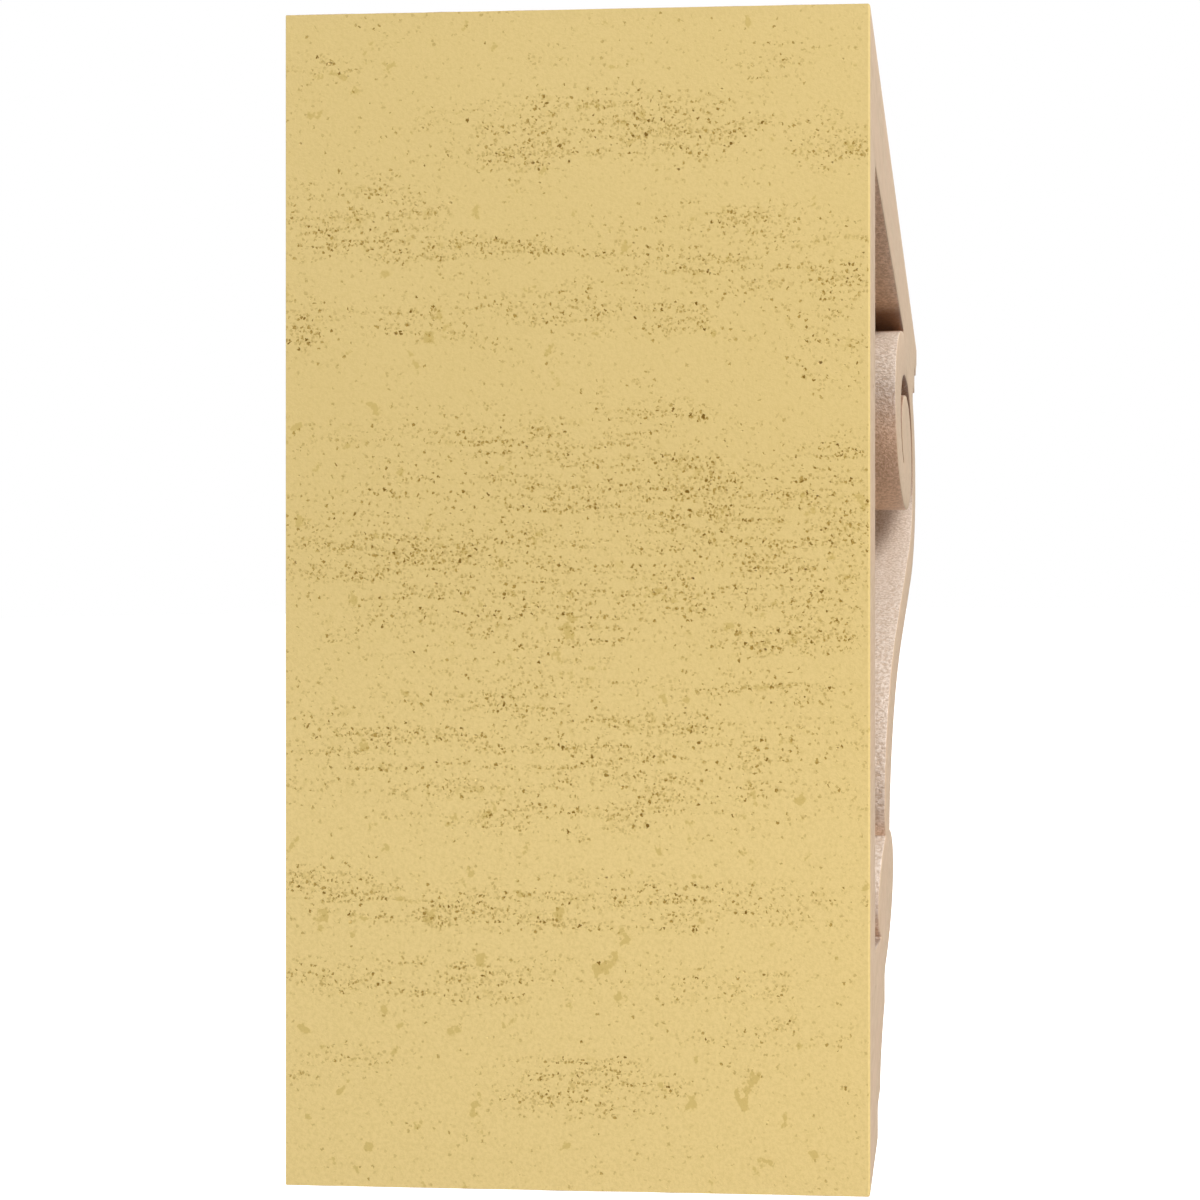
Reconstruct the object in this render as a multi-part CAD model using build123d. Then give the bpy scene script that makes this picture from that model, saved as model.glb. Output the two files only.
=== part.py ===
"""Scrolled wall corbel, cast in one piece of rigid urethane foam.

The corbel is one side profile carried straight through its width. A flat top member with a moulded
front carries the shelf or beam. An S-shaped band drops from it, curls up into an open spiral volute
at the top and down into a small scroll above the stepped foot. The space between the back board and
the band is open from side to side, and so is the narrow slot that separates the turns of the volute.

Frame: origin at the centre of the wall face, +Y into the wall, -Y towards the room, +Z up.
A profile point is (depth out from the wall, height above the middle of the corbel), in millimetres.
"""
from build123d import *
from math import acos, asin, atan2, cos, degrees, dist, hypot, pi, radians, sin, sqrt
import os

# Overall size
width = 152.4
height = 304.8
projection = 152.4

# Top member: fascia, hollow, lower fascia
cap_fascia_height = 9.4
cap_hollow_height = 9.6
cap_hollow_depth = 6.4
cap_hollow_sag = 0.9
lower_fascia_setback = 15.4
top_member_thickness = 33.8

# Quirk: the notch between the top member and the front of the volute
quirk_lip_setback = 6.0
quirk_bottom_setback = 11.0
quirk_drop = 6.5
quirk_height = 3.2
quirk_cove_sag = 0.6

# Mould radius on the long edges of the fascias, the neck and the foot
edge_radius = 0.8

# Back board and foot
back_board_thickness = 8.2
foot_block_height = 56.7
foot_block_slope = 6.1
foot_neck_depth = 25.4
foot_neck_height = 26.5
foot_neck_shoulder = 1.5
foot_cove_height = 14.4
foot_cove_depth = 16.9
foot_cove_sag = 1.5
foot_pad_height = 9.1
foot_pad_depth = 12.6

# Upper volute: a spiral that loses the same radius on every turn
volute_setback = 9.6
volute_bite = 1.65
volute_radius = 51.5
volute_pitch = 25.0
volute_band = 17.0
volute_start_angle = 42.0
volute_join_angle = 13.0
slot_join_angle = 10.0
slot_taper_angle = 110.0
slot_end_angle = 232.0
slot_end_width = 2.0
spiral_step = 15.0

# Crease where the back of the volute runs into the top member
crease_gap = 1.2

# S-shaped band below the volute, with heights from the foot
belly_radius = 67.4
band_straight = 50.0
throat_depth = 35.9
throat_height = 70.4
throat_wall = 10.2
window_straight = 64.0
window_throat_height = 85.4

# Lower scroll, with heights from the foot
scroll_top_height = 75.0
scroll_front_depth = 45.4
scroll_front_height = 58.4
scroll_bottom_depth = 26.8
scroll_bottom_height = 36.6
scroll_crease_height = 76.4
scroll_crease_undercut = 2.3
scroll_back_depth = 13.9
scroll_back_height = 62.4
scroll_seat_depth = 20.7

top = height / 2
bottom = -height / 2
underside = top - top_member_thickness


def side(point):
    """A profile point in the side plane: the front of the corbel looks towards -Y."""
    depth, level = point
    return Vector(-depth, level)


def lines(*points):
    return Polyline(*[side(point) for point in points])


def softened(*points):
    """Straight runs whose corners have the mould radius."""
    return FilletPolyline(*[side(point) for point in points], radius=edge_radius)


def arc(start, middle, end):
    return ThreePointArc(side(start), side(middle), side(end))


def smooth(points):
    return Spline(*[side(point) for point in points])


def around(centre, radius, angle):
    """The point at this angle about a centre, from the front (0) over the top (90) to the back."""
    return (centre[0] + radius * cos(radians(angle)), centre[1] + radius * sin(radians(angle)))


def bowed(start, end, sag):
    """The middle point of an arc that is hollowed towards the wall by sag from its chord."""
    run = (end[0] - start[0], end[1] - start[1])
    length = hypot(*run)
    return ((start[0] + end[0]) / 2 + sag * run[1] / length, (start[1] + end[1]) / 2 - sag * run[0] / length)


def crossing_tangent(centre_a, radius_a, centre_b, radius_b):
    """The straight that leaves the front of circle a and meets the back of circle b below it."""
    run = dist(centre_a, centre_b)
    lean = degrees(atan2(centre_b[1] - centre_a[1], centre_b[0] - centre_a[0]))
    angle = lean + degrees(acos((radius_a + radius_b) / run))
    return angle, around(centre_a, radius_a, angle), around(centre_b, -radius_b, angle)


def turn_radius(angle):
    """Radius of the outer face of the volute band at an angle, which may pass a full turn."""
    return volute_radius - volute_pitch * angle / 360


# The volute hangs from the top member, biting into it at the top of its first turn
volute_centre = (projection - volute_setback - volute_radius, underside - turn_radius(90) + volute_bite)


def slot_outer(angle):
    """The slot's outer wall is the inner face of the band."""
    return around(volute_centre, turn_radius(angle) - volute_band, angle)


def slot_inner(angle):
    """The slot's inner wall is the next turn of the band, until the slot narrows to its end."""
    full_width = volute_pitch - volute_band
    share = max(0.0, (angle - slot_taper_angle) / (slot_end_angle - slot_taper_angle))
    gap = full_width + (slot_end_width - full_width) * share
    return around(volute_centre, turn_radius(angle) - volute_band - gap, angle)


def angles(first, last):
    """Angles from first to last in equal steps of about spiral_step."""
    count = max(2, round(abs(last - first) / spiral_step))
    return [first + (last - first) * step / count for step in range(count + 1)]


# The belly arc leaves the volute where both have the same direction
band_lean = degrees(atan2(volute_pitch / (2 * pi), turn_radius(volute_join_angle)))
volute_join = around(volute_centre, turn_radius(volute_join_angle), volute_join_angle)
belly_angle = volute_join_angle + band_lean
belly_centre = around(volute_join, -belly_radius, belly_angle)


def hollow_radius(upper_radius, straight, foot):
    """Radius of the arc that is upright at foot and reaches the belly arc by a straight of this length."""
    across = belly_centre[0] - foot[0]
    drop = belly_centre[1] - foot[1]
    return (across ** 2 + drop ** 2 - upper_radius ** 2 - straight ** 2) / (2 * (upper_radius + across))


throat = (throat_depth, bottom + throat_height)
throat_radius = hollow_radius(belly_radius, band_straight, throat)
throat_centre = (throat[0] + throat_radius, throat[1])


def throat_face(level):
    """Depth of the throat's front face at a height."""
    return throat_centre[0] - sqrt(throat_radius ** 2 - (level - throat[1]) ** 2)


def outer_outline():
    """The outline from the wall over the cap, round the volute, down the S to the foot."""
    hollow_top = (projection, top - cap_fascia_height)
    hollow_foot = (projection - cap_hollow_depth, hollow_top[1] - cap_hollow_height)
    lower_fascia = projection - lower_fascia_setback
    quirk_lip = (lower_fascia - quirk_lip_setback, underside)
    quirk_back = (lower_fascia - quirk_bottom_setback, underside - quirk_drop)
    quirk_floor = (quirk_back[0], quirk_back[1] - quirk_height)
    volute_start = around(volute_centre, turn_radius(volute_start_angle), volute_start_angle)
    straight_angle, straight_top, straight_foot = crossing_tangent(
        belly_centre, belly_radius, throat_centre, throat_radius)
    belly_middle = around(belly_centre, belly_radius, (belly_angle + straight_angle) / 2)
    scroll_top = (throat_face(bottom + scroll_top_height), bottom + scroll_top_height)
    throat_angle = degrees(atan2(scroll_top[1] - throat[1], scroll_top[0] - throat_centre[0])) % 360
    throat_middle = around(throat_centre, throat_radius, (straight_angle + 180 + throat_angle) / 2)
    scroll_front = (scroll_front_depth, bottom + scroll_front_height)
    scroll_bottom = (scroll_bottom_depth, bottom + scroll_bottom_height)
    neck_top = (foot_neck_depth, scroll_bottom[1] - foot_neck_shoulder)
    neck_foot = (foot_neck_depth, bottom + foot_neck_height)
    cove_foot = (foot_cove_depth, neck_foot[1] - foot_cove_height)
    pad_top = bottom + foot_pad_height

    outline = lines((0, bottom), (0, top))
    outline += softened((0, top), (projection, top), hollow_top)
    outline += arc(hollow_top, bowed(hollow_top, hollow_foot, cap_hollow_sag), hollow_foot)
    outline += softened(hollow_foot, (lower_fascia, hollow_foot[1]), (lower_fascia, underside), quirk_lip)
    outline += arc(quirk_lip, bowed(quirk_lip, quirk_back, quirk_cove_sag), quirk_back)
    outline += lines(quirk_back, quirk_floor, volute_start)
    outline += smooth([around(volute_centre, turn_radius(angle), angle)
                       for angle in angles(volute_start_angle, volute_join_angle)])
    outline += arc(volute_join, belly_middle, straight_top)
    outline += lines(straight_top, straight_foot)
    outline += arc(straight_foot, throat_middle, scroll_top)
    outline += arc(scroll_top, scroll_front, scroll_bottom)
    outline += softened(scroll_bottom, neck_top, neck_foot)
    outline += arc(neck_foot, bowed(neck_foot, cove_foot, foot_cove_sag), cove_foot)
    outline += softened(cove_foot, (foot_cove_depth, pad_top), (foot_pad_depth, pad_top),
                        (foot_pad_depth, bottom), (0, bottom))
    return make_face(outline)


def underside_angle():
    """Angle at which the back of the volute comes within the crease's gap of the top member."""
    rise = underside - crease_gap - volute_centre[1]
    angle = 90.0
    for _ in range(20):
        angle = 180 - degrees(asin(rise / turn_radius(angle)))
    return angle


def window_outline():
    """The opening: behind the volute, into its slot and back out, down the band to the foot block."""
    crease_angle = underside_angle()
    turns = [around(volute_centre, turn_radius(angle), angle)
             for angle in angles(crease_angle, 360 + slot_taper_angle)]
    turns += [slot_inner(angle) for angle in angles(slot_taper_angle, slot_end_angle)[1:]]
    slot_end = [slot_outer(angle) for angle in angles(slot_end_angle, slot_join_angle)]
    tip_radius = turn_radius(slot_end_angle) - volute_band - slot_end_width / 2
    tip = around(volute_centre, tip_radius, slot_end_angle + degrees(slot_end_width / 2 / tip_radius))
    belly_inner_radius = dist(slot_end[-1], belly_centre)
    belly_inner_angle = degrees(atan2(slot_end[-1][1] - belly_centre[1], slot_end[-1][0] - belly_centre[0]))
    waist = (throat_depth - throat_wall, bottom + window_throat_height)
    waist_radius = hollow_radius(belly_inner_radius, window_straight, waist)
    waist_centre = (waist[0] + waist_radius, waist[1])
    straight_angle, straight_top, straight_foot = crossing_tangent(
        belly_centre, belly_inner_radius, waist_centre, waist_radius)
    belly_middle = around(belly_centre, belly_inner_radius, (belly_inner_angle + straight_angle) / 2)
    waist_middle = around(waist_centre, waist_radius, straight_angle / 2 + 180)
    scroll_crease = (waist[0] + scroll_crease_undercut, bottom + scroll_crease_height)
    scroll_back = (scroll_back_depth, bottom + scroll_back_height)
    block_top = bottom + foot_block_height
    scroll_seat = (scroll_seat_depth, block_top - foot_block_slope)

    crease_top = (turns[0][0], underside)
    crease_front = (turns[0][0] + crease_gap / 2, underside - crease_gap / 2)

    outline = lines((back_board_thickness, underside), crease_top)
    outline += arc(crease_top, crease_front, turns[0])
    outline += smooth(turns)
    outline += arc(turns[-1], tip, slot_end[0])
    outline += smooth(slot_end)
    outline += arc(slot_end[-1], belly_middle, straight_top)
    outline += lines(straight_top, straight_foot)
    outline += arc(straight_foot, waist_middle, waist)
    outline += TangentArc(side(waist), side(scroll_crease), tangent=(0, -1))
    outline += arc(scroll_crease, scroll_back, scroll_seat)
    outline += lines(scroll_seat, (back_board_thickness, block_top), (back_board_thickness, underside))
    return make_face(outline)


def make_corbel():
    profile = outer_outline() - window_outline()
    return extrude(Plane.YZ * profile, amount=width / 2, both=True)


corbel = make_corbel()
corbel.label = "corbel"
os.makedirs("parts", exist_ok=True)
export_step(corbel, "parts/corbel.step")
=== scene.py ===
"""Looks of the scrolled wall corbel: raw foam on the wall face, primed and grained skin elsewhere.

The casting is modelled again as one finer mesh on the outline of its solid, with soft mould edges,
a grain that runs across the width, and real pores in the foam of the wall face.
"""

import math
import random

import bpy
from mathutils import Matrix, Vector, noise
from mathutils.geometry import delaunay_2d_cdt


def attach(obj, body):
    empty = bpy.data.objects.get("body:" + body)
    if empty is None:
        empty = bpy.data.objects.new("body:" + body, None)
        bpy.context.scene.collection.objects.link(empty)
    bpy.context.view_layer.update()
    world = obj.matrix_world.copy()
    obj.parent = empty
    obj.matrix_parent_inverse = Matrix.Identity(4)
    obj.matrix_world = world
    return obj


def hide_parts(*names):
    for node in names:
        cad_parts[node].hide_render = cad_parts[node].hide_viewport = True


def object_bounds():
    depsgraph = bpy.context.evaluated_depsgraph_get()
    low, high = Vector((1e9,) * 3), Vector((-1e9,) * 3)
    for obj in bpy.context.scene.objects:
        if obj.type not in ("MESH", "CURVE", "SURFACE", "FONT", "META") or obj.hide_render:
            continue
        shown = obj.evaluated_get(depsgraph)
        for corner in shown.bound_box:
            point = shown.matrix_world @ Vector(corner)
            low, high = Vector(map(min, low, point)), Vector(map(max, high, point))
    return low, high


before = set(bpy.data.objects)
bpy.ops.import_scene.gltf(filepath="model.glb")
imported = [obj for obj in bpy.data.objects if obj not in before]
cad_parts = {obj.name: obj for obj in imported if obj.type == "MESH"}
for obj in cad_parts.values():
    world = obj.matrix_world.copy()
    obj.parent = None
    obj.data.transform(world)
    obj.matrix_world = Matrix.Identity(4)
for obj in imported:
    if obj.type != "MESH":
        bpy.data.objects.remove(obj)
cad_low, cad_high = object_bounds()

MM = 0.001
WIDTH = cad_high.x - cad_low.x
DEPTH = cad_high.y - cad_low.y
HEIGHT = cad_high.z - cad_low.z

# Photograph: a close, level view of the wall face with the side at the right, in pixels
IMAGE_SIZE = 1200
NEAR_EDGE_X = 869.9
NEAR_EDGE_HEIGHT = 1197.9
HORIZON_Y = 600.1
DEPTH_VANISHING_X = 949.9
WIDTH_VANISHING_X = -28534.0
PROFILE_REACH = 1.4  # the corbel's projection, in distances from the camera to its near back edge

# Crease on the volute's flat sides, as (depth out from the wall, height) points in mm
EYE_CREASE = ((70.2, 74.8), (71.0, 69.8), (74.4, 65.4), (78.8, 61.8))
CREASE_HALF_WIDTH = 3 * MM
CREASE_DROP = 3 * MM
CREASE_STEP = 0.9 * MM
CREASE_CLEARANCE = 2.2 * MM

# Shade is painted on the skin where the outline faces itself across less than this gap, most of all in
# the volute's slot, which lies further out and higher than these two places
SHELTER_GAP = 13 * MM
SLOT_DEPTH = 58 * MM
SLOT_LEVEL = 45 * MM

# Mesh of the casting
TOUCH = 0.01 * MM  # a point nearer than this to a plane counts as on it
SHORTEST_PIECE = 0.02 * MM
OUTLINE_STEP = 1.2 * MM
WIDTH_STEP = 5 * MM
CORNER_TURN = math.radians(20)
CORNER_STEPS = 4
CORNER_SHARE = 0.45  # how much of a run the round at one of its ends may take
STRAIGHT_TURN = math.radians(3)
LARGEST_TURN = math.radians(150)
SHARP_ANGLE = math.radians(34)
MOULD_RADIUS = 0.8 * MM
WALL_CORNER_RADIUS = 0.6 * MM
RIM_RADIUS = 0.5 * MM
RIM_STEPS = 3
SIDE_GRID = 4 * MM
WALL_GRID = 2.6 * MM
GRID_JITTER = 0.2  # in steps of the grid

# Relief of the skin and pores of the foam
GRAIN_DEPTH = 0.12 * MM
RIM_SMOOTHING = 0.6  # how much of the grain is lost at the rims
SIDE_RELIEF = 0.06 * MM
WALL_RELIEF = 0.05 * MM
PORE_COUNT = 1100
PORE_RADII = (0.22 * MM, 0.42 * MM)
LARGE_PORE_SHARE = 0.04
LARGE_PORE_RADIUS = 0.6 * MM
PORE_SIDES = 6
PORE_GAP = 0.12 * MM
PORE_ROOM = 1.3  # the room kept round a pore's middle, in its radius
PORE_RAGGED = (0.75, 1.1)
PORE_STRETCH = (1.0, 1.35)
PORE_MARGIN = 1.5 * MM
STRAY_PORE_CHANCE = 0.002
CLOSED_SHARE = 0.07  # how open the foam is away from the streaks
STREAK_END = 4  # squared distance from a streak's middle, in its half sizes, where it has faded

# Bands and streaks of open foam on the wall face, in mm: place across, height, half length, half height,
# and how dense
STREAKS = (
    (66, 137, 11, 5, 0.4),
    (-52, 138, 11, 6, 0.35),
    (-8, 121, 44, 10, 0.55),
    (12, 115, 13, 4, 0.85),
    (-28, 118, 20, 3, 0.75),
    (-10, 129, 8, 3, 0.8),
    (-67, 117, 12, 7, 0.8),
    (56, 101, 22, 11, 0.5),
    (38, 90.5, 38, 3, 0.95),
    (-40, 91, 36, 11, 0.45),
    (-34, 85, 13, 3, 0.75),
    (-69, 81, 9, 8, 0.8),
    (0, 74, 76, 8, 0.35),
    (42, 71, 12, 3, 0.75),
    (-26, 72, 14, 4, 0.65),
    (71, 72, 7, 7, 0.6),
    (-66, 62, 10, 10, 0.45),
    (0, 16, 82, 32, 0.48),
    (-68, 18, 14, 26, 0.6),
    (6, 40.5, 30, 3, 0.85),
    (-23, 48, 11, 3, 0.75),
    (-32, 25.5, 46, 7, 0.95),
    (48, 11, 28, 7, 0.95),
    (-56, 11, 20, 5, 0.9),
    (-23, 1, 54, 4, 0.75),
    (-58, -9, 18, 5, 0.75),
    (0, -38, 80, 21, 0.42),
    (-49, -23, 21, 2.5, 0.65),
    (56, -36, 20, 5, 0.6),
    (-12, -44, 45, 3, 0.6),
    (-20, -52, 9, 4, 0.85),
    (6, -58.5, 30, 2.5, 0.65),
    (0, -78, 80, 7, 0.48),
    (65, -73.5, 12, 4.5, 0.95),
    (15, -82, 28, 3, 0.95),
    (-58, -77, 12, 3, 0.75),
    (36, -98, 40, 7, 0.5),
    (45, -98, 10, 4, 0.75),
    (-34, -98, 30, 6, 0.35),
    (-50, -111, 26, 3, 0.4),
    (60, -120, 15, 4, 0.45),
    (-2, -125, 26, 8, 0.6),
    (10, -122, 8, 4, 0.8),
)


def srgb(red, green, blue):
    """A colour seen on screen as linear red, green, blue and alpha."""
    def linear(value):
        share = value / 255
        return share / 12.92 if share <= 0.04045 else ((share + 0.055) / 1.055) ** 2.4
    return (linear(red), linear(green), linear(blue), 1.0)


# Outline of the side, as (depth out from the wall, height) points with the material on their left


def profile_loops(mesh):
    """The closed outlines of the solid's side, the outer one first."""
    def place(index):
        point = mesh.vertices[index].co
        return (round(-point.y, 7), round(point.z, 7))

    borders = {}
    for face in mesh.polygons:
        if any(mesh.vertices[index].co.x > cad_low.x + TOUCH for index in face.vertices):
            continue
        corners = [place(index) for index in face.vertices]
        for edge in zip(corners, corners[1:] + corners[:1]):
            if borders.pop(edge[::-1], None) is None:
                borders[edge] = True
    following = dict(borders.keys())
    loops = []
    while following:
        loop = [next(iter(following))]
        while loop[-1] in following:
            loop.append(following.pop(loop[-1]))
        loops.append([Vector(point) for point in loop[:-1]])
    return sorted(loops, key=lambda loop: max(point.y for point in loop), reverse=True)


def turn_between(first, second):
    return abs(first.angle_signed(second))


def runs_between_corners(loop):
    """The loop cut at its corners, each run with both its ends."""
    count = len(loop)
    corners = [index for index in range(count)
               if turn_between(loop[index] - loop[index - 1], loop[(index + 1) % count] - loop[index])
               > CORNER_TURN]
    runs = []
    for start, end in zip(corners, corners[1:] + [corners[0] + count]):
        runs.append([loop[index % count] for index in range(start, end + 1)])
    return runs


def smooth_run(points, step):
    """A run through the same points with curved stretches between them, at about this step."""
    chords = [end - start for start, end in zip(points, points[1:])]
    if len(chords) > 1:
        tangents = []
        for before, after in zip(chords, chords[1:]):
            if before.length > 3 * after.length:
                tangents.append(before.normalized())
            elif after.length > 3 * before.length:
                tangents.append(after.normalized())
            else:
                mixed = before.normalized() * after.length + after.normalized() * before.length
                tangents.append(mixed.normalized())
        first = (2 * chords[0].normalized() - tangents[0]).normalized()
        last = (2 * chords[-1].normalized() - tangents[-1]).normalized()
        tangents = [first] + tangents + [last]
    else:
        tangents = [chords[0].normalized()] * 2
    curve = [points[0]]
    for index, chord in enumerate(chords):
        size = chord.length
        start, end = points[index], points[index + 1]
        count = max(1, math.ceil(size / step))
        for part in range(1, count + 1):
            t = part / count
            curve.append(start * (2 * t ** 3 - 3 * t ** 2 + 1) + end * (3 * t ** 2 - 2 * t ** 3)
                         + tangents[index] * size * (t ** 3 - 2 * t ** 2 + t)
                         + tangents[index + 1] * size * (t ** 3 - t ** 2))
    return curve


def run_length(points):
    return sum((end - start).length for start, end in zip(points, points[1:]))


def trimmed(points, cut):
    """The run without this length at its start."""
    left = cut
    for index, (start, end) in enumerate(zip(points, points[1:])):
        size = (end - start).length
        if left < size - SHORTEST_PIECE:
            return [start.lerp(end, left / size)] + points[index + 1:]
        left -= size
    return points[-1:]


def corner_arc(start, corner, end):
    """Points between the start and end of the round that replaces a corner."""
    arriving, leaving = (corner - start).normalized(), (end - corner).normalized()
    turn = arriving.angle_signed(leaving)
    if abs(turn) < STRAIGHT_TURN:
        return [corner]
    radius = (corner - start).length / math.tan(abs(turn) / 2)
    side = 1 if arriving.cross(leaving) > 0 else -1
    centre = start + Vector((-arriving.y, arriving.x)) * side * radius
    points = []
    for part in range(1, CORNER_STEPS):
        angle = side * abs(turn) * part / CORNER_STEPS
        spoke = start - centre
        points.append(centre + Vector((spoke.x * math.cos(angle) - spoke.y * math.sin(angle),
                                       spoke.x * math.sin(angle) + spoke.y * math.cos(angle))))
    return points


def rounded_loop(loop):
    """The loop at a fine step, with every corner rounded."""
    runs = [smooth_run(run, OUTLINE_STEP) for run in runs_between_corners(loop)]
    lengths = [run_length(run) for run in runs]
    cuts = []
    for index, run in enumerate(runs):
        before = runs[index - 1]
        radius = WALL_CORNER_RADIUS if run[0].x < TOUCH else MOULD_RADIUS
        turn = turn_between(before[-1] - before[-2], run[1] - run[0])
        wanted = radius * math.tan(min(turn, LARGEST_TURN) / 2)
        cuts.append(min(wanted, CORNER_SHARE * lengths[index], CORNER_SHARE * lengths[index - 1]))
    result = []
    for index, run in enumerate(runs):
        run = trimmed(run, cuts[index])
        run = trimmed(run[::-1], cuts[(index + 1) % len(runs)])[::-1]
        result.append(run)
    points = []
    for index, run in enumerate(result):
        points += corner_arc(result[index - 1][-1], runs[index][0], run[0])
        points += run
    return points


def outward(points, index):
    """The outward direction at a point of a loop."""
    after = points[(index + 1) % len(points)] - points[index]
    before = points[index] - points[index - 1]
    along = before.normalized() + after.normalized()
    return Vector((along.y, -along.x)).normalized()


# Relief


def flat_noise(across, level, length, height, layer):
    """Noise over a flat face, with features about this long and high in mm."""
    return noise.noise(Vector((across / (length * MM), level / (height * MM), layer)))


def streak_share(across, level):
    """How open the foam is at a point of the wall face, from 0 to about 1."""
    share = CLOSED_SHARE
    for x, z, half_length, half_height, dense in STREAKS:
        reach = ((across / MM - x) / half_length) ** 2 + ((level / MM - z) / half_height) ** 2
        if reach < STREAK_END:
            share = max(share, dense * math.exp(-0.7 * reach ** 2))
    ragged = flat_noise(across, level, 18, 2.4, 3.0)
    patchy = flat_noise(across, level, 6, 3, 8.0)
    broad = flat_noise(across, level, 30, 9, 21.0)
    return max(0.0, share * (1.0 + 0.8 * ragged + 0.5 * patchy) + 0.15 * max(0.0, broad))


def grain(across, depth, level):
    """Relief of the skin, from 0 to 1, drawn out along the width."""
    coarse = noise.noise(Vector((across / (9 * MM), depth / (2.6 * MM), level / (2.6 * MM))))
    fine = noise.noise(Vector((across / (6 * MM), depth / (1.5 * MM), level / (1.5 * MM) + 40)))
    return min(1.0, max(0.0, 0.5 + 0.45 * coarse + 0.35 * fine))


def foam_pores():
    """Places and sizes of the larger pores, packed in the streaks of open foam."""
    draw = random.Random(11)
    cell = 2 * MM
    taken = {}
    pores = []
    while len(pores) < PORE_COUNT:
        across = draw.uniform(cad_low.x + PORE_MARGIN, cad_high.x - PORE_MARGIN)
        level = draw.uniform(cad_low.z + PORE_MARGIN, cad_high.z - PORE_MARGIN)
        chance = draw.random()
        if chance > STRAY_PORE_CHANCE + streak_share(across, level) ** 2:
            continue
        radius = draw.uniform(*PORE_RADII)
        if draw.random() < LARGE_PORE_SHARE:
            radius = LARGE_PORE_RADIUS * draw.uniform(0.75, 1.0)
        spot = (int(across // cell), int(level // cell))
        near = [other for column in (-1, 0, 1) for row in (-1, 0, 1)
                for other in taken.get((spot[0] + column, spot[1] + row), [])]
        if any(math.hypot(across - x, level - z) < radius * PORE_ROOM + size * PORE_ROOM + PORE_GAP
               for x, z, size in near):
            continue
        taken.setdefault(spot, []).append((across, level, radius))
        pores.append((across, level, radius))
    return pores


def gap_ahead(points, index):
    """How far the outline lies from itself straight out of one of its points."""
    start, towards = points[index], outward(points, index)
    nearest = math.inf
    for first, second in zip(points, points[1:] + points[:1]):
        edge = second - first
        steep = towards.cross(edge)
        if abs(steep) < 1e-9:
            continue
        share = (first - start).cross(towards) / steep
        reach = (first - start).cross(edge) / steep
        if 0 <= share <= 1 and reach > 0.1 * MM:
            nearest = min(nearest, reach)
    return nearest


def shelter_at(points, index):
    """How much shelter a point of an outline has from what it faces, from 0 to 1, as the strength of the
    shade painted there.
    """
    shelter = max(0.0, 1 - gap_ahead(points, index) / SHELTER_GAP)
    if points[index].x > SLOT_DEPTH and points[index].y > SLOT_LEVEL:
        return min(1.0, 2.2 * shelter)
    return 0.5 * shelter ** 2


# The casting


class Casting:
    """Vertices and faces of the casting while it is put together."""

    def __init__(self):
        self.places = []
        self.faces = []
        self.materials = []
        self.sunk = {}  # how deep a pore or the crease is, as a share of the deepest, which also sets the shade painted in it
        self.shade = {}  # on the wall face how open the foam is, elsewhere how much shade is painted on the skin by its shelter

    def vertex(self, x, y, z):
        self.places.append((x, y, z))
        return len(self.places) - 1

    def face(self, corners, material=0):
        self.faces.append(corners)
        self.materials.append(material)


def width_rows():
    """Places across the width, each with how far the outline is drawn in there."""
    rim = []
    for part in range(RIM_STEPS + 1):
        angle = math.pi / 2 * part / RIM_STEPS
        rim.append((RIM_RADIUS * (1 - math.cos(angle)), RIM_RADIUS * (1 - math.sin(angle))))
    inner = WIDTH - 2 * RIM_RADIUS
    count = round(inner / WIDTH_STEP)
    middle = [(RIM_RADIUS + inner * part / count, 0.0) for part in range(1, count)]
    rows = rim + middle + [(WIDTH - place, drawn_in) for place, drawn_in in reversed(rim)]
    return [(cad_low.x + place, drawn_in) for place, drawn_in in rows]


def lateral_rows(casting, loop, rows):
    """A grid of vertices over one outline, drawn in at the rims and lowered by the grain."""
    grid = []
    for index, point in enumerate(loop):
        normal = outward(loop, index)
        on_wall = point.x < TOUCH
        line = []
        for place, drawn_in in rows:
            lowered = 0.0
            if not on_wall:
                lowered = GRAIN_DEPTH * grain(place, point.x, point.y)
                lowered *= 1 - RIM_SMOOTHING * drawn_in / RIM_RADIUS
            spot = point - normal * (drawn_in + lowered)
            line.append(casting.vertex(place, -spot.x, spot.y))
        grid.append(line)
    return grid


def fill(outlines, inner_points):
    """Triangles of the plane region inside the first outline and outside the others."""
    points = []
    edges = []
    for outline in outlines:
        first = len(points)
        points += outline
        edges += [(first + index, first + (index + 1) % len(outline)) for index in range(len(outline))]
    points += inner_points
    made = delaunay_2d_cdt(points, edges, [], 0, 1e-9)
    back = [sources[0] for sources in made[3]]
    triangles = []
    for corners in made[2]:
        middle = sum((made[0][index] for index in corners), Vector((0, 0))) / 3
        if all(inside(middle, outline) == (outline is outlines[0]) for outline in outlines):
            triangles.append([back[index] for index in corners])
    return triangles


def crease_points():
    """Points along both edges and the bottom of the crease on a side, and how far each is sunk."""
    line = smooth_run([Vector(spot) * MM for spot in EYE_CREASE], CREASE_STEP)
    points = [(line[0], 0.0), (line[-1], 0.0)]
    for index in range(1, len(line) - 1):
        along = (line[index + 1] - line[index - 1]).normalized()
        across = Vector((-along.y, along.x))
        ease = min(1.0, 4 * index / len(line), 4 * (len(line) - 1 - index) / len(line))
        half = CREASE_HALF_WIDTH * (0.5 + 0.5 * ease)
        points.append((line[index] - across * half, 0.0))
        points.append((line[index], CREASE_DROP * ease))
        points.append((line[index] + across * half, 0.0))
    return points


def inside(point, outline):
    """Whether a point is inside a closed outline."""
    found = False
    before = outline[-1]
    for after in outline:
        if (before.y > point.y) != (after.y > point.y):
            crossing = before.x + (after.x - before.x) * (point.y - before.y) / (after.y - before.y)
            if point.x < crossing:
                found = not found
        before = after
    return found


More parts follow.
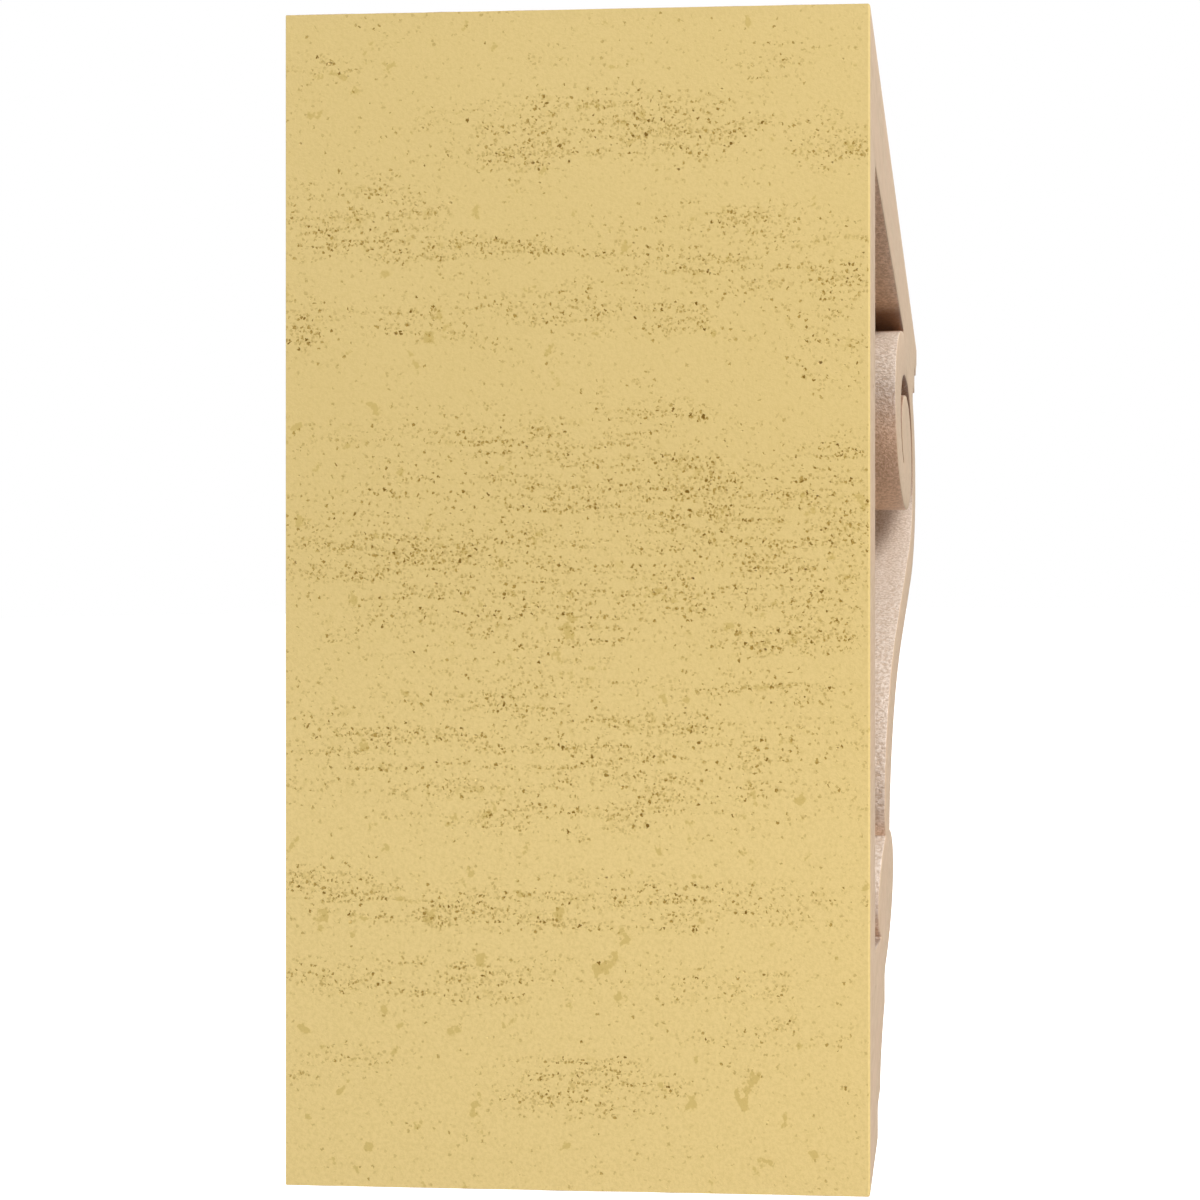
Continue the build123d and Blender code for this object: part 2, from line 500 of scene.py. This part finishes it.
def near_outline_cells(outlines, cell):
    """Grid cells that an outline passes through or beside."""
    cells = set()
    for outline in outlines:
        for point in outline:
            column, row = int(point.x // cell), int(point.y // cell)
            cells |= {(column + a, row + b) for a in (-1, 0, 1) for b in (-1, 0, 1)}
    return cells


def add_sides(casting, grids):
    """The two flat sides, from the innermost rims of both outlines."""
    draw = random.Random(5)
    outlines = []
    for grid in grids:
        outlines.append([Vector((-casting.places[line[0]][1], casting.places[line[0]][2])) for line in grid])
    cell = SIDE_GRID / 2
    blocked = near_outline_cells(outlines, cell)
    crease = crease_points()
    inner_points = []
    for column in range(int(DEPTH / SIDE_GRID) + 1):
        for row in range(int(HEIGHT / SIDE_GRID) + 1):
            jitter = (draw.uniform(-GRID_JITTER, GRID_JITTER), draw.uniform(-GRID_JITTER, GRID_JITTER))
            point = Vector(((column + 0.5 * (row % 2) + jitter[0]) * SIDE_GRID,
                            cad_low.z + (row + jitter[1]) * SIDE_GRID))
            if (int(point.x // cell), int(point.y // cell)) in blocked:
                continue
            if any((point - spot).length < CREASE_CLEARANCE for spot, _ in crease):
                continue
            if inside(point, outlines[0]) and not inside(point, outlines[1]):
                inner_points.append(point)
    inner_points += [spot for spot, _ in crease]
    sunk = [0.0] * (len(inner_points) - len(crease)) + [drop for _, drop in crease]
    triangles = fill(outlines, inner_points)
    for last, side_x, towards in ((0, cad_low.x, 1), (-1, cad_high.x, -1)):
        border = [line[last] for grid in grids for line in grid]
        for point, drop in zip(inner_points, sunk):
            bumpy = flat_noise(point.x, point.y, 16, 16, side_x * 40)
            lowered = SIDE_RELIEF * (0.5 + 0.5 * bumpy) + drop
            index = casting.vertex(side_x + towards * lowered, -point.x, point.y)
            # The share sunk also sets the shade painted in the crease
            casting.sunk[index] = drop / CREASE_DROP
            border.append(index)
        for corners in triangles:
            turned = corners if last == 0 else corners[::-1]
            casting.face([border[index] for index in turned])


def add_wall_face(casting, grid, wall):
    """The foam face against the wall, with its pores, inside the rims round it."""
    draw = random.Random(3)
    first, last = RIM_STEPS, len(grid[0]) - 1 - RIM_STEPS
    border = [grid[wall[0]][row] for row in range(first, last + 1)]
    border += [grid[index][last] for index in wall[1:]]
    border += [grid[wall[-1]][row] for row in range(last - 1, first - 1, -1)]
    border += [grid[index][first] for index in reversed(wall[1:-1])]
    outline = [Vector((casting.places[index][0], casting.places[index][2])) for index in border]

    pores = foam_pores()
    inner_points = []
    lowered = []
    sunk = []
    crowded = set()
    cell = WALL_GRID / 2
    for x, z, radius in pores:
        lean = draw.uniform(0, math.pi)
        stretch = draw.uniform(*PORE_STRETCH)
        for part in range(PORE_SIDES):
            angle = 2 * math.pi * part / PORE_SIDES + lean
            reach = radius * draw.uniform(*PORE_RAGGED)
            spot = Vector((x + reach * stretch * math.cos(angle), z + reach / stretch * math.sin(angle)))
            inner_points.append(spot)
            lowered.append(0.0)
            sunk.append(0.0)
        # How deep a pore is, and how much shade is painted in its middle
        dark = min(1.0, draw.uniform(0.2, 1.0) ** 3 * radius / PORE_RADII[1] + 0.08)
        inner_points.append(Vector((x, z)))
        lowered.append(radius * (0.2 + dark))
        sunk.append(dark)
        crowded.add((int(x // cell), int(z // cell)))
    for column in range(int(WIDTH / WALL_GRID) + 1):
        for row in range(int(HEIGHT / WALL_GRID) + 1):
            jitter = (draw.uniform(-GRID_JITTER, GRID_JITTER), draw.uniform(-GRID_JITTER, GRID_JITTER))
            spot = Vector((cad_low.x + (column + 0.5 * (row % 2) + jitter[0]) * WALL_GRID,
                           cad_low.z + (row + jitter[1]) * WALL_GRID))
            if abs(spot.x) > WIDTH / 2 - 1 * MM or abs(spot.y) > HEIGHT / 2 - 1 * MM:
                continue
            at = (int(spot.x // cell), int(spot.y // cell))
            if any((at[0] + a, at[1] + b) in crowded for a in (-1, 0, 1) for b in (-1, 0, 1)):
                continue
            inner_points.append(spot)
            lowered.append(WALL_RELIEF * (0.5 + 0.5 * noise.noise(Vector((spot.x, spot.y, 0)) / (12 * MM))))
            sunk.append(0.0)
    for spot, drop, share in zip(inner_points, lowered, sunk):
        index = casting.vertex(spot.x, cad_high.y - drop, spot.y)
        casting.sunk[index] = share
        border.append(index)
    for index in border:
        x, _, z = casting.places[index]
        casting.shade[index] = streak_share(x, z)
    for corners in fill([outline], inner_points):
        casting.face([border[index] for index in reversed(corners)], 1)


def points_on_wall(loop):
    """The points of the outer outline that lie on the wall, in order."""
    wall = [index for index, point in enumerate(loop) if point.x < TOUCH]
    if wall[-1] - wall[0] != len(wall) - 1:
        gap = next(place for place in range(1, len(wall)) if wall[place] != wall[place - 1] + 1)
        wall = wall[gap:] + wall[:gap]
    return wall


def add_lateral_faces(casting, grids, wall):
    """The faces that run across the width, apart from the wall face inside its rims."""
    wall_segments = set(wall[:-1])
    for number, grid in enumerate(grids):
        for index, line in enumerate(grid):
            after = grid[(index + 1) % len(grid)]
            for row in range(len(line) - 1):
                inner = RIM_STEPS <= row < len(line) - 1 - RIM_STEPS
                on_wall = number == 0 and index in wall_segments
                if on_wall and inner:
                    continue
                casting.face([line[row], line[row + 1], after[row + 1], after[row]], 1 if on_wall else 0)


def add_shelter(casting, loops, grids):
    """How much shade is painted on the skin across the width, short of the rims, by its shelter."""
    for loop, grid in zip(loops, grids):
        for index, line in enumerate(grid):
            if loop[index].x > TOUCH:
                shelter = shelter_at(loop, index)
                for vertex in line[2:-2]:
                    casting.shade[vertex] = shelter


def casting_mesh(casting):
    mesh = bpy.data.meshes.new("corbel_casting")
    mesh.from_pydata(casting.places, [], casting.faces)
    mesh.polygons.foreach_set("material_index", casting.materials)
    for name, values in (("sunk", casting.sunk), ("shade", casting.shade)):
        layer = mesh.attributes.new(name, "FLOAT", "POINT")
        layer.data.foreach_set("value", [values.get(index, 0.0) for index in range(len(casting.places))])
    mesh.shade_smooth()
    mesh.set_sharp_from_angle(angle=SHARP_ANGLE)
    # The wall face is shaded flat, so that a pore doesn't dent the light around it
    for face in mesh.polygons:
        if face.material_index == 1 and face.normal.y > 0.7 and len(face.vertices) == 3:
            face.use_smooth = False
    mesh.validate()
    return mesh


def make_casting():
    rows = width_rows()
    casting = Casting()
    loops = [rounded_loop(loop) for loop in profile_loops(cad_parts["corbel"].data)]
    grids = [lateral_rows(casting, loop, rows) for loop in loops]
    wall = points_on_wall(loops[0])
    add_shelter(casting, loops, grids)
    add_lateral_faces(casting, grids, wall)
    add_sides(casting, grids)
    add_wall_face(casting, grids[0], wall)
    piece = bpy.data.objects.new("corbel_casting", casting_mesh(casting))
    bpy.context.collection.objects.link(piece)
    piece.data.materials.append(skin_material())
    piece.data.materials.append(foam_material())
    return piece


# Materials, with their colours as red, green and blue on screen


FOAM = (219, 195, 130)
FOAM_PALE = (224, 200, 137)
FOAM_LOW = (229, 205, 140)
FOAM_GRIT = (211, 187, 120)
FOAM_STAIN = (198, 172, 98)
# Painted shade of pinholes drawn as specks
SPECK_SHADE_FAINT = (176, 147, 76)
SPECK_SHADE_DARK = (122, 92, 32)
PORE_SHADE = (112, 80, 22)
SIDE_SKIN = (195, 172, 145)
SIDE_PALE = (205, 183, 157)
SIDE_CLOUD = (208, 180, 154)
SIDE_KNOT = (138, 108, 84)
# Grain of the faces across the width, greyer and on the whole paler than the sides as a painted sheen
GRAIN_DARK_SHEENED = (187, 166, 146)
GRAIN_PALE_SHEENED = (220, 205, 191)
GRAIN_WAVE_SHEENED = (205, 187, 169)
CREASE_SHADE = (82, 58, 41)
SHELTER_SHADE = (152, 116, 90)

# Factors on red, green and blue of the grained skin, which paint shade on it by the way it faces
UNDERSIDE_WARM_SHADE = (1.24, 1.05, 0.89, 1)
# Painted shade where the grained skin faces the wall and tilts downward
BACK_SHADE = (0.78, 0.75, 0.74, 1)

FOAM_BUMP = 0.2 * MM
GRAIN_BUMP = 0.5 * MM
GRIT_BUMP = 0.15 * MM


class Shader:
    """Short calls that add and link the nodes of one material."""

    def __init__(self, name):
        self.material = bpy.data.materials.new(name)
        self.material.use_nodes = True
        self.tree = self.material.node_tree
        self.principled = self.tree.nodes["Principled BSDF"]

    def node(self, kind, values=(), **settings):
        made = self.tree.nodes.new("ShaderNode" + kind)
        for name, value in settings.items():
            setattr(made, name, value)
        for socket, value in dict(values).items():
            self.feed(made.inputs[socket], value)
        return made

    def feed(self, socket, value):
        if isinstance(value, bpy.types.NodeSocket):
            self.tree.links.new(value, socket)
        else:
            socket.default_value = value

    def math(self, operation, first, second=0.0, clamp=False):
        return self.node("Math", {0: first, 1: second}, operation=operation, use_clamp=clamp).outputs[0]

    def ramp(self, value, low, high, to_low=0.0, to_high=1.0):
        values = {"Value": value, "From Min": low, "From Max": high, "To Min": to_low, "To Max": to_high}
        return self.node("MapRange", values, interpolation_type="SMOOTHSTEP").outputs["Result"]

    def mix(self, share, first, second, blend="MIX"):
        made = self.node("Mix", data_type="RGBA", blend_type=blend)
        self.feed(made.inputs[0], share)
        self.feed(made.inputs[6], first)
        self.feed(made.inputs[7], second)
        return made.outputs[2]

    def paint(self, share, strength, under, over):
        """One colour with another over it, as strong as the share times the strength."""
        return self.mix(self.math("MULTIPLY", share, strength, clamp=True), under, srgb(*over))

    def scaled(self, stretch):
        """Object coordinates in mm, with each axis multiplied by its own factor."""
        place = self.node("TexCoord").outputs["Object"]
        factor = [value / MM for value in stretch]
        return self.node("VectorMath", {0: place, 1: factor}, operation="MULTIPLY").outputs[0]

    def turned(self, vector):
        """The same place seen askew, so that no flat face lies along the lattice of a noise."""
        values = {"Vector": vector, "Rotation": (0.6, 0.45, 0.8)}
        return self.node("VectorRotate", values, rotation_type="EULER_XYZ").outputs[0]

    def noise(self, vector, size, detail=2.0, roughness=0.5):
        values = {"Vector": vector, "Scale": 1 / size, "Detail": detail, "Roughness": roughness}
        return self.node("TexNoise", values).outputs["Fac"]

    def specks(self, flat, cell, chance, narrow, wide):
        """Specks in as many cells as the chance says, most of them faint, with their radii in cells."""
        values = {"Vector": flat, "Scale": 1 / cell}
        cells = self.node("TexVoronoi", values, voronoi_dimensions="2D")
        draws = self.node("SeparateColor", {0: cells.outputs["Color"]})
        rank = self.math("DIVIDE", draws.outputs[0], chance)
        radius = self.math("ADD", self.math("MULTIPLY", draws.outputs[1], wide - narrow), narrow)
        near = self.math("SUBTRACT", 1.0, self.math("DIVIDE", cells.outputs["Distance"], radius), clamp=True)
        spread = self.math("MULTIPLY", near, 2.0, clamp=True)
        strength = self.math("ADD", chance, 0.4, clamp=True)
        shown = self.math("MULTIPLY", self.math("LESS_THAN", rank, 1.0), strength)
        dark = self.math("ADD", self.math("MULTIPLY", self.math("LOGARITHM", rank, math.e), -0.21), 0.14)
        return self.math("MULTIPLY", spread, self.math("MULTIPLY", shown, dark), clamp=True)


def foam_material():
    shader = Shader("raw_foam")
    straight = shader.scaled((1, 1, 1))
    place = shader.turned(straight)
    parts = shader.node("SeparateXYZ", {0: straight})
    level = parts.outputs[2]
    drawn = shader.scaled((0.1, 1, 1))
    drawn = shader.node("VectorMath", {0: drawn, 1: (5, 1.3, 9)}, operation="ADD").outputs[0]
    drifted = shader.node("VectorMath", {0: place, 1: (31, 17, 53)}, operation="ADD").outputs[0]
    ragged = shader.node("TexNoise", {"Vector": place, "Scale": 1 / 0.7, "Detail": 2.0}).outputs["Color"]
    moved = shader.node("VectorMath", {0: ragged, 1: (1.5, 1.5, 0)}, operation="MULTIPLY").outputs[0]
    flat = shader.node("CombineXYZ", {0: parts.outputs[0], 1: level}).outputs[0]
    flat = shader.node("VectorMath", {0: flat, 1: moved}, operation="ADD").outputs[0]
    leaning = shader.node("VectorRotate", {"Vector": flat, "Angle": 0.47}, rotation_type="Z_AXIS").outputs[0]
    flat = shader.node("VectorMath", {0: flat, 1: (40, 70, 0)}, operation="ADD").outputs[0]
    falling = shader.node("VectorRotate", {"Vector": flat, "Angle": -0.33}, rotation_type="Z_AXIS").outputs[0]

    open_foam = shader.node("Attribute", attribute_name="shade").outputs["Fac"]
    pore = shader.node("Attribute", attribute_name="sunk").outputs["Fac"]
    streaky = shader.ramp(shader.noise(drawn, 2.1, 2), 0.36, 0.66, 0.4, 1.4)
    chance = shader.math("MULTIPLY", open_foam, streaky)

    cloud = shader.noise(place, 45, 3)
    colour = shader.mix(cloud, srgb(*FOAM), srgb(*FOAM_PALE))
    colour = shader.mix(shader.ramp(level, 40, -75), colour, srgb(*FOAM_LOW))
    fine = shader.ramp(shader.noise(place, 0.9, 3, 0.7), 0.35, 0.7)
    colour = shader.paint(fine, 0.45, colour, FOAM_GRIT)

    blotch = shader.ramp(shader.noise(place, 8, 4, 0.62), 0.635, 0.67)
    stain = shader.ramp(shader.noise(drifted, 3.2, 3, 0.6), 0.58, 0.7)
    stain = shader.math("MULTIPLY", stain, chance)
    soft = shader.math("MAXIMUM", blotch, stain)
    colour = shader.paint(soft, 0.65, colour, FOAM_STAIN)

    # The specks are pinholes too small to model: painted shade makes them dark, and the bump below sinks them
    chance = shader.math("MAXIMUM", shader.math("MULTIPLY", chance, 1.05), 0.01)
    coarse = shader.specks(leaning, 1.6, chance, 0.17, 0.36)
    close = shader.specks(falling, 1.0, chance, 0.3, 0.54)
    dark = shader.math("MAXIMUM", coarse, close)
    colour = shader.paint(dark, 2.0, colour, SPECK_SHADE_FAINT)
    deep = shader.math("SUBTRACT", shader.math("MULTIPLY", dark, 2.0), 1.0, clamp=True)
    colour = shader.mix(deep, colour, srgb(*SPECK_SHADE_DARK))
    # Painted shade darkens the middle of each modelled pore, the more the deeper it is
    colour = shader.mix(pore, colour, srgb(*PORE_SHADE))
    shader.feed(shader.principled.inputs["Base Color"], colour)
    shader.principled.inputs["Roughness"].default_value = 0.85
    shader.principled.inputs["Specular IOR Level"].default_value = 0.2

    sunk = shader.math("MULTIPLY", dark, -1.0)
    grit = shader.math("MULTIPLY", fine, 0.3)
    height = shader.math("ADD", sunk, grit)
    bump = shader.node("Bump", {"Height": height, "Distance": FOAM_BUMP, "Strength": 0.45})
    shader.feed(shader.principled.inputs["Normal"], bump.outputs[0])
    return shader.material


def skin_material():
    shader = Shader("primed_skin")
    normal = shader.node("SeparateXYZ", {0: shader.node("TexCoord").outputs["Normal"]})
    on_side = shader.ramp(shader.math("ABSOLUTE", normal.outputs[0]), 0.35, 0.8)
    even = shader.scaled((1, 1, 1))
    drawn = shader.scaled((0.7, 1, 1))

    mottle = shader.noise(even, 2.6, 3, 0.6)
    side = shader.mix(shader.ramp(mottle, 0.3, 0.7), srgb(*SIDE_SKIN), srgb(*SIDE_PALE))
    cloud = shader.ramp(shader.noise(even, 14, 2), 0.35, 0.65)
    side = shader.paint(cloud, 0.35, side, SIDE_CLOUD)
    knots = shader.node("TexVoronoi", {"Vector": even, "Scale": 1 / 11})
    knot = shader.ramp(knots.outputs["Distance"], 0.05, 0.03)
    side = shader.paint(knot, 0.5, side, SIDE_KNOT)

    ridges = shader.noise(drawn, 0.85, 2, 0.6)
    waves = shader.noise(drawn, 2.4, 2)
    # The grain across the width, painted greyer and paler than the side skin as a sheen
    across = shader.mix(shader.ramp(ridges, 0.36, 0.64), srgb(*GRAIN_DARK_SHEENED), srgb(*GRAIN_PALE_SHEENED))
    across = shader.paint(shader.ramp(waves, 0.35, 0.65), 0.3, across, GRAIN_WAVE_SHEENED)

    rise, towards_wall = normal.outputs[2], normal.outputs[1]
    # Painted shade on the undersides of the grained skin, warm as from light bounced onto it
    across = shader.mix(shader.ramp(rise, 0.1, -0.5), across, UNDERSIDE_WARM_SHADE, "MULTIPLY")
    # Painted shade darkens the grained skin where it faces the wall and tilts downward
    back_shade_share = shader.math("MULTIPLY", shader.ramp(rise, 0.25, -0.05), shader.ramp(rise, -0.95, -0.6))
    back_shade_share = shader.math("MULTIPLY", back_shade_share, shader.ramp(towards_wall, 0.0, 0.4))
    across = shader.mix(back_shade_share, across, BACK_SHADE, "MULTIPLY")
    colour = shader.mix(on_side, across, side)

    # Painted shade darkens the crease on the volute's sides, the more the deeper it is sunk
    crease = shader.node("Attribute", attribute_name="sunk").outputs["Fac"]
    colour = shader.paint(crease, 4.0, colour, CREASE_SHADE)
    # Painted shade darkens the skin where the outline faces itself across a narrow gap, most of all in the
    # volute's slot
    shelter_shade_share = shader.node("Attribute", attribute_name="shade").outputs["Fac"]
    colour = shader.mix(shelter_shade_share, colour, srgb(*SHELTER_SHADE))
    shader.feed(shader.principled.inputs["Base Color"], colour)
    shader.feed(shader.principled.inputs["Roughness"], shader.ramp(on_side, 0.0, 1.0, 0.4, 0.7))
    shader.feed(shader.principled.inputs["Specular IOR Level"], shader.ramp(on_side, 0.0, 1.0, 0.6, 0.2))

    relief = shader.math("ADD", ridges, shader.math("MULTIPLY", waves, 0.6))
    fade = shader.ramp(on_side, 0.0, 1.0, 0.75, 0.0)
    grainy = shader.node("Bump", {"Height": relief, "Distance": GRAIN_BUMP, "Strength": fade}).outputs[0]
    grit = shader.noise(even, 0.7, 2)
    bump = shader.node("Bump", {"Height": grit, "Distance": GRIT_BUMP, "Normal": grainy, "Strength": 0.35})
    shader.feed(shader.principled.inputs["Normal"], bump.outputs[0])
    return shader.material


# Camera, floor and light


FLOOR_SIZE = 40
FLOOR_DROP = 0.25
FLOOR_GREY = (0.5, 0.5, 0.5, 1)
FLOOR_BOUNCE_GREY = (0.12, 0.12, 0.12, 1)
FLOOR_GLOW = 0.85

# The surround's light, dim where a direction sinks below the first height and full above the second
SURROUND_HEIGHTS = (-0.2, 0.9)
SURROUND_LIGHT = (0.055, 0.64)

# Lamps: name, place, size, power in watts and colour
LAMPS = (
    ("key", (-1.36, 1.52, 1.3), 1.1, 45.5, (1.0, 1.0, 1.0)),
    ("over", (-1.5, 0.13, 2.0), 1.1, 19.5, (1.0, 1.0, 1.0)),
    ("fill", (1.13, 2.14, -0.35), 1.1, 16.5, (1.0, 1.0, 1.0)),
    ("front", (0.7, -1.8, 0.9), 1.5, 24, (1.0, 1.0, 1.0)),
    ("side", (2.4, -0.3, 0.2), 1.2, 16, (1.0, 1.0, 1.0)),
    ("bounce", (-0.5, 0.45, -0.32), 0.4, 1.05, (1.0, 0.7, 0.5)),
)


def make_camera():
    """The photograph's camera: level, close behind the wall face and just past the side."""
    near = DEPTH / PROFILE_REACH
    focal = NEAR_EDGE_HEIGHT * near / HEIGHT
    principal_x = DEPTH_VANISHING_X
    for _ in range(10):
        principal_x = DEPTH_VANISHING_X - focal ** 2 / (principal_x - WIDTH_VANISHING_X)
    turn = math.atan((DEPTH_VANISHING_X - principal_x) / focal)
    forward = Vector((math.sin(turn), -math.cos(turn), 0))
    right = Vector((-math.cos(turn), -math.sin(turn), 0))
    near_edge = Vector((cad_low.x, cad_high.y, (cad_low.z + cad_high.z) / 2))
    aside = (NEAR_EDGE_X - principal_x) / focal * near
    data = bpy.data.cameras.new("camera")
    data.sensor_width = 36
    data.lens = data.sensor_width * focal / IMAGE_SIZE
    data.shift_x = (IMAGE_SIZE / 2 - principal_x) / IMAGE_SIZE
    data.shift_y = (HORIZON_Y - IMAGE_SIZE / 2) / IMAGE_SIZE
    data.clip_start = 0.005
    data.clip_end = 50
    camera = bpy.data.objects.new("camera", data)
    camera.location = near_edge - forward * near - right * aside
    camera.rotation_mode = "QUATERNION"
    camera.rotation_quaternion = forward.to_track_quat("-Z", "Y")
    bpy.context.collection.objects.link(camera)
    bpy.context.scene.camera = camera


def make_floor():
    """A pale floor that the camera sees as white, with the corbel's soft shadow."""
    bpy.ops.mesh.primitive_plane_add(size=FLOOR_SIZE, location=(0, 0, cad_low.z - FLOOR_DROP))
    floor = bpy.context.object
    floor.name = "floor"
    shader = Shader("floor_white")
    shader.principled.inputs["Roughness"].default_value = 0.9
    path = shader.node("LightPath")
    pale = shader.mix(path.outputs["Is Diffuse Ray"], FLOOR_GREY, FLOOR_BOUNCE_GREY)
    shader.feed(shader.principled.inputs["Base Color"], pale)
    seen = shader.math("MAXIMUM", path.outputs["Is Camera Ray"], path.outputs["Is Glossy Ray"])
    glow = shader.math("MULTIPLY", seen, FLOOR_GLOW)
    white = shader.node("Emission", {"Color": (1, 1, 1, 1), "Strength": glow})
    both = shader.node("AddShader", {0: shader.principled.outputs[0], 1: white.outputs[0]})
    shader.feed(shader.tree.nodes["Material Output"].inputs["Surface"], both.outputs[0])
    floor.data.materials.append(shader.material)


def area_light(name, location, size, power, colour):
    """A square lamp aimed at the middle of the wall face."""
    data = bpy.data.lights.new(name, "AREA")
    data.size = size
    data.energy = power
    data.color = colour
    lamp = bpy.data.objects.new(name, data)
    lamp.location = location
    lamp.rotation_mode = "QUATERNION"
    lamp.rotation_quaternion = Vector(location).to_track_quat("Z", "Y")
    lamp.visible_camera = False
    bpy.context.collection.objects.link(lamp)


def make_light():
    """A white surround that lights more from above than from below, and the lamps."""
    world = bpy.data.worlds.new("surround")
    world.use_nodes = True
    bpy.context.scene.world = world
    nodes, links = world.node_tree.nodes, world.node_tree.links
    nodes.clear()
    path = nodes.new("ShaderNodeLightPath")
    direction = nodes.new("ShaderNodeTexCoord")
    parts = nodes.new("ShaderNodeSeparateXYZ")
    rise = nodes.new("ShaderNodeMapRange")
    for index, socket in enumerate(("Min", "Max")):
        rise.inputs["From " + socket].default_value = SURROUND_HEIGHTS[index]
        rise.inputs["To " + socket].default_value = SURROUND_LIGHT[index]
    seen = nodes.new("ShaderNodeBackground")
    fill = nodes.new("ShaderNodeBackground")
    both = nodes.new("ShaderNodeMath")
    both.operation = "MAXIMUM"
    mix = nodes.new("ShaderNodeMixShader")
    output = nodes.new("ShaderNodeOutputWorld")
    seen.inputs["Color"].default_value = (1, 1, 1, 1)
    fill.inputs["Color"].default_value = (1, 1, 1, 1)
    links.new(direction.outputs["Generated"], parts.inputs[0])
    links.new(parts.outputs[2], rise.inputs["Value"])
    links.new(rise.outputs["Result"], fill.inputs["Strength"])
    links.new(path.outputs["Is Camera Ray"], both.inputs[0])
    links.new(path.outputs["Is Glossy Ray"], both.inputs[1])
    links.new(both.outputs[0], mix.inputs[0])
    links.new(fill.outputs[0], mix.inputs[1])
    links.new(seen.outputs[0], mix.inputs[2])
    links.new(mix.outputs[0], output.inputs["Surface"])
    for lamp in LAMPS:
        area_light(*lamp)


make_camera()
make_floor()
make_light()
corbel = make_casting()
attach(corbel, "root")
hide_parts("corbel")

bpy.context.scene.view_settings.view_transform = "Standard"
